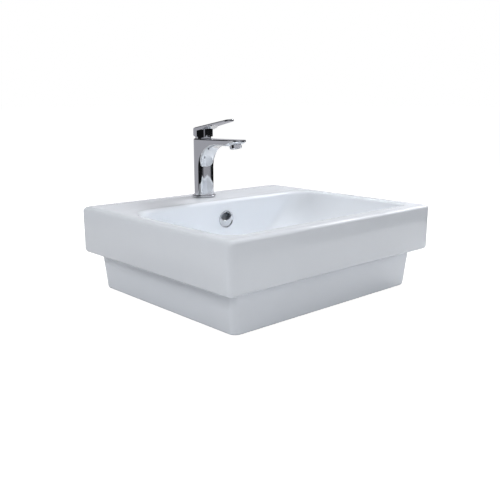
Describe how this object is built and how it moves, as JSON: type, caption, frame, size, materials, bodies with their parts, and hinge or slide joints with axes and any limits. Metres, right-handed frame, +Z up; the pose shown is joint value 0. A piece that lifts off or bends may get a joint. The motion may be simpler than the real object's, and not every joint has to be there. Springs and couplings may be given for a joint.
{
  "type": "countertop basin",
  "caption": "Rectangular white ceramic countertop basin with a tap deck, a sloping bowl, overflow and push plug, and a chrome lever mixer tap.",
  "frame": {"origin": "centre of the footprint, on the surface the skirt stands on", "axes": "+X to the user's right, +Y to the back, where the tap stands, +Z up"},
  "size_m": [0.56, 0.47, 0.351],
  "materials": {
    "glaze": "glossy white glaze",
    "chrome": "polished plating",
    "seal_rubber": "matt black",
    "bare_brass": "machined",
    "steel": "zinc plated",
    "grey_plastic": "moulded",
    "valve_ceramic": "lapped"
  },
  "bodies": {
    "fixed": {"basin": "glaze", "overflow_ring": "chrome", "mixer_body": "chrome", "base_ring": "chrome", "aerator_housing": "chrome", "cartridge_cover": "chrome", "waste_body": "chrome", "waste_upper_gasket": "seal_rubber", "waste_lower_gasket": "seal_rubber", "base_gasket": "seal_rubber", "rubber_horseshoe": "seal_rubber", "aerator_washer": "seal_rubber", "waste_back_nut": "bare_brass", "cartridge_nut": "bare_brass", "click_housing": "bare_brass", "click_spring": "steel", "fixing_studs": "steel", "steel_horseshoe": "steel", "stud_nuts": "steel", "aerator_insert": "grey_plastic", "cartridge_housing": "grey_plastic", "cartridge_base": "grey_plastic", "fixed_disc": "valve_ceramic"},
    "rotor": {"cartridge_rotor": "grey_plastic", "lever_pin": "steel"},
    "lever": {"lever_handle": "chrome", "cartridge_stem": "steel", "set_screw": "steel", "index_plug": "grey_plastic"},
    "disc": {"moving_disc": "valve_ceramic"},
    "plug": {"plug_cap": "chrome", "plug_seal": "seal_rubber", "plug_stem": "bare_brass"}
  },
  "joints": [
    {"name": "lever_swivel", "type": "hinge", "parent": "fixed", "child": "rotor", "pos_m": [0, 0.18, 0.31], "axis": [0, 0, 1], "range_deg": [-45, 45]},
    {"name": "lever_lift", "type": "hinge", "parent": "rotor", "child": "lever", "pos_m": [0, 0.18, 0.31], "axis": [-1, 0, 0], "range_deg": [0, 22]},
    {"name": "disc_slide", "type": "slide", "parent": "rotor", "child": "disc", "axis": [0, -1, 0], "range_m": [0, 0.003]},
    {"name": "plug_press", "type": "slide", "parent": "fixed", "child": "plug", "axis": [0, 0, 1], "range_m": [-0.0072, 0], "deforming": ["click_spring"]}
  ],
  "couplings": [
    {"joint": "disc_slide", "follows": "lever_lift", "m_per_rad": 0.0075}
  ]
}
